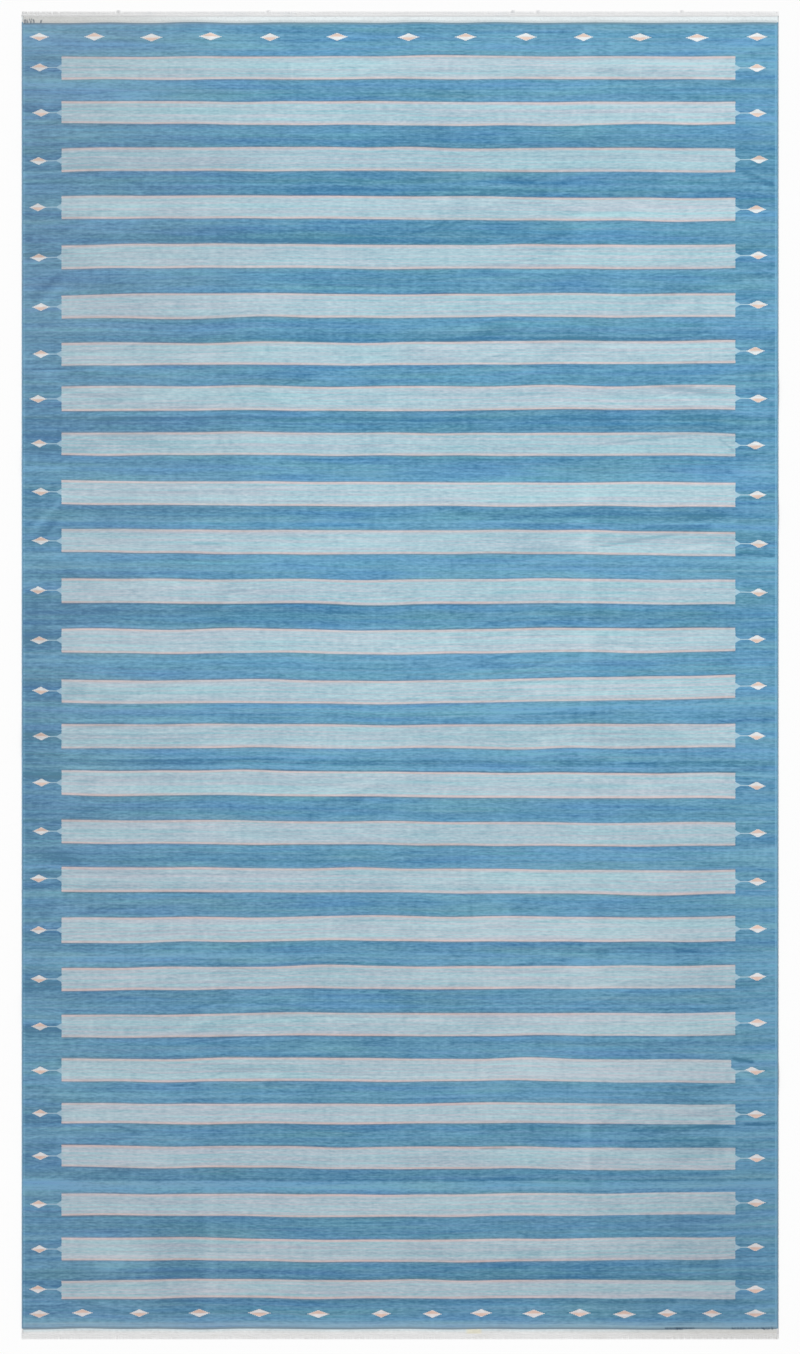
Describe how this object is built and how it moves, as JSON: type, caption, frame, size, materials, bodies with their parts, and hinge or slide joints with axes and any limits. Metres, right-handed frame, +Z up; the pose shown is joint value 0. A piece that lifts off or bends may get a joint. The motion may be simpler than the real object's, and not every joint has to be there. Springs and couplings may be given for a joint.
{
  "type": "dhurrie rug",
  "caption": "Large flat-woven cotton floor rug with light bands across a blue field, lozenges round the border, a plain web and a short fringe at each end.",
  "frame": {"origin": "on the floor, under the middle of the rug", "axes": "+X across the rug towards its right selvage, +Y along its length towards the far end, +Z up from the floor"},
  "size_m": [3.634, 6.38, 0.0082],
  "materials": {
    "dyed_cotton": "matte weft-faced flat weave in dyed cotton",
    "undyed_cotton": "matte undyed cotton warp"
  },
  "bodies": {
    "root": {"rug_cloth": "dyed_cotton", "fringe_far": "undyed_cotton", "fringe_near": "undyed_cotton"}
  },
  "joints": []
}
